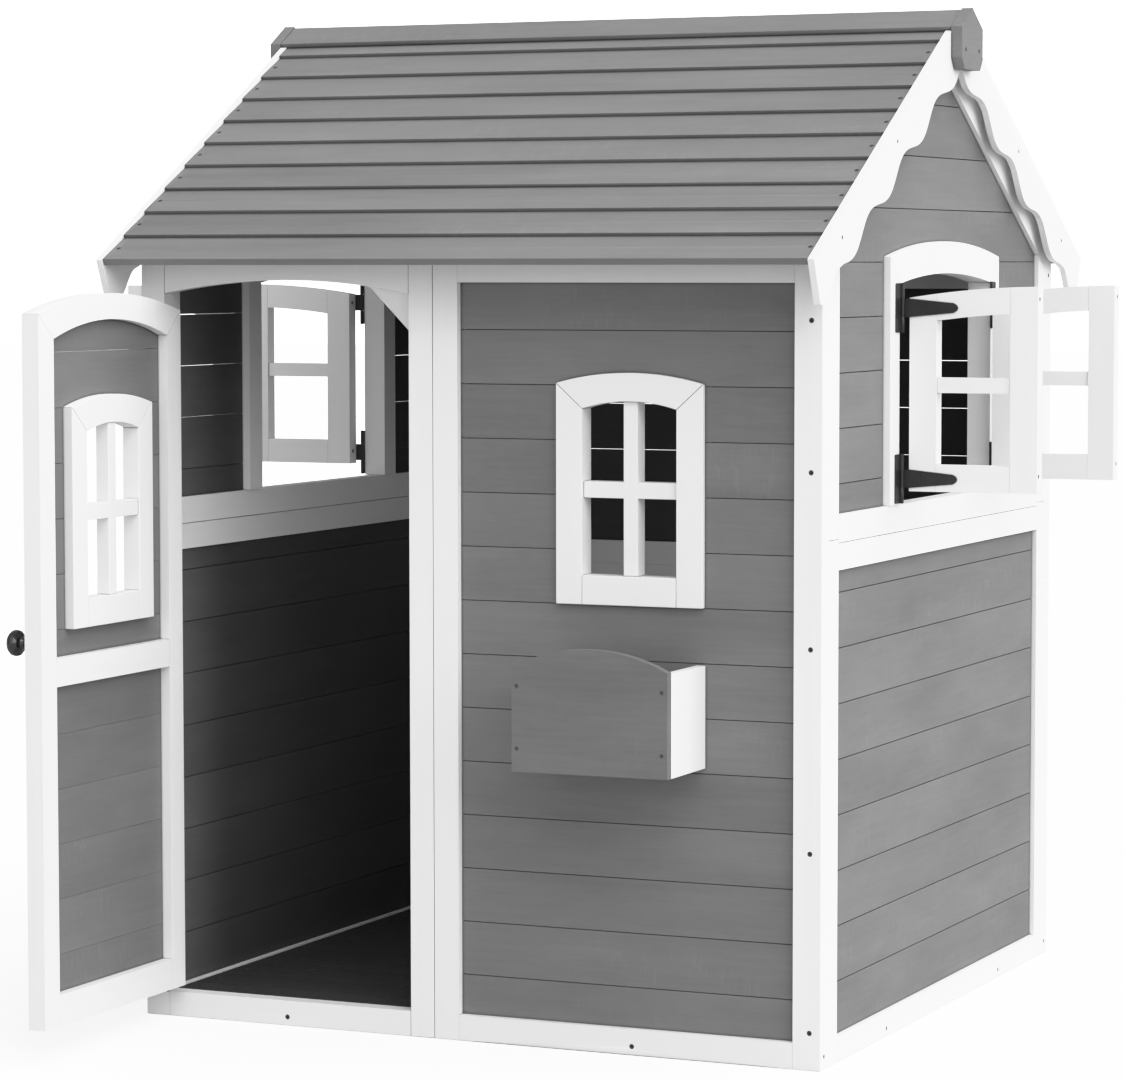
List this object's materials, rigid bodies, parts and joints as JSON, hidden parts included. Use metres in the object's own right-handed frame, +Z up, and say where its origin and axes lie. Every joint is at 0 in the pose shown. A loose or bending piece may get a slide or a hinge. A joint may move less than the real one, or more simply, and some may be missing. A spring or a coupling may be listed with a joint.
{
  "type": "wooden playhouse",
  "caption": "Children's garden playhouse with framed board walls, a lapped board gable roof, a hinged door, hinged side window sashes and a front planter box.",
  "frame": {"origin": "middle of the wall footprint, on the ground", "axes": "+X to the right seen from the front, +Y from front to back, +Z up"},
  "size_m": [1.389, 1.4512, 1.3967],
  "materials": {
    "white_frame": "white painted timber, satin, faint grain showing through",
    "grey_boards": "mid grey stained boards, blotchy brushed stain, matt",
    "grey_roof": "grey stained roof boards, fine straight grain, matt",
    "dark_floor": "dark grey grooved decking, matt",
    "bare_timber": "planed softwood, uncoated",
    "black_hinges": "black powder coat, satin",
    "dark_screws": "dull zinc plate",
    "black_knob": "smooth black, semi gloss"
  },
  "bodies": {
    "house": {"door_frame_left_stile": "white_frame", "door_frame_right_stile": "white_frame", "door_lintel": "white_frame", "door_sill": "white_frame", "door_stop": "white_frame", "front_panel_frame": "white_frame", "front_panel_boards": "grey_boards", "front_window_casing": "white_frame", "front_window_bars": "white_frame", "planter_front": "grey_boards", "planter_box": "white_frame", "right_lower_frame": "white_frame", "right_lower_boards": "grey_boards", "right_gable_frame": "white_frame", "right_gable_boards": "grey_boards", "right_window_casing": "white_frame", "left_lower_frame": "white_frame", "left_lower_boards": "grey_boards", "left_gable_frame": "white_frame", "left_gable_boards": "grey_boards", "left_window_casing": "white_frame", "back_panel_frame": "white_frame", "back_panel_boards": "grey_boards", "floor_slats": "dark_floor", "floor_bearers": "bare_timber", "floor_screws": "dark_screws", "roof_boards_front": "grey_roof", "roof_boards_back": "grey_roof", "roof_rafters": "white_frame", "right_front_barge": "white_frame", "right_back_barge": "white_frame", "left_front_barge": "white_frame", "left_back_barge": "white_frame", "ridge_board_front": "grey_roof", "ridge_board_back": "grey_roof", "ridge_end_right": "grey_roof", "ridge_end_left": "grey_roof", "wall_screws": "dark_screws", "roof_screws": "dark_screws", "planter_screws": "dark_screws", "door_hinge_plates": "black_hinges", "right_window_hinge_plates": "black_hinges", "left_window_hinge_plates": "black_hinges", "hinge_pins": "dark_screws"},
    "door": {"door_leaf_frame": "white_frame", "door_leaf_boards": "grey_boards", "door_window_casing": "white_frame", "door_window_bars": "white_frame", "door_knob": "black_knob", "door_hinge_straps": "black_hinges"},
    "right_front_window_sash": {"right_front_sash": "white_frame", "right_front_sash_straps": "black_hinges"},
    "right_back_window_sash": {"right_back_sash": "white_frame", "right_back_sash_straps": "black_hinges"},
    "left_front_window_sash": {"left_front_sash": "white_frame", "left_front_sash_straps": "black_hinges"},
    "left_back_window_sash": {"left_back_sash": "white_frame", "left_back_sash_straps": "black_hinges"}
  },
  "joints": [
    {"name": "door_hinge", "type": "hinge", "parent": "house", "child": "door", "pos_m": [-0.4645, -0.4985, 0.5], "axis": [0, 0, -1], "range_deg": [-90, 30]},
    {"name": "right_front_sash_hinge", "type": "hinge", "parent": "house", "child": "right_front_window_sash", "pos_m": [0.506, -0.201, 0.87], "axis": [0, 0, -1], "range_deg": [-90, 85]},
    {"name": "right_back_sash_hinge", "type": "hinge", "parent": "house", "child": "right_back_window_sash", "pos_m": [0.506, 0.189, 0.87], "axis": [0, 0, 1], "range_deg": [-90, 85]},
    {"name": "left_front_sash_hinge", "type": "hinge", "parent": "house", "child": "left_front_window_sash", "pos_m": [-0.506, -0.201, 0.87], "axis": [0, 0, 1], "range_deg": [-90, 85]},
    {"name": "left_back_sash_hinge", "type": "hinge", "parent": "house", "child": "left_back_window_sash", "pos_m": [-0.506, 0.189, 0.87], "axis": [0, 0, -1], "range_deg": [-90, 85]}
  ]
}
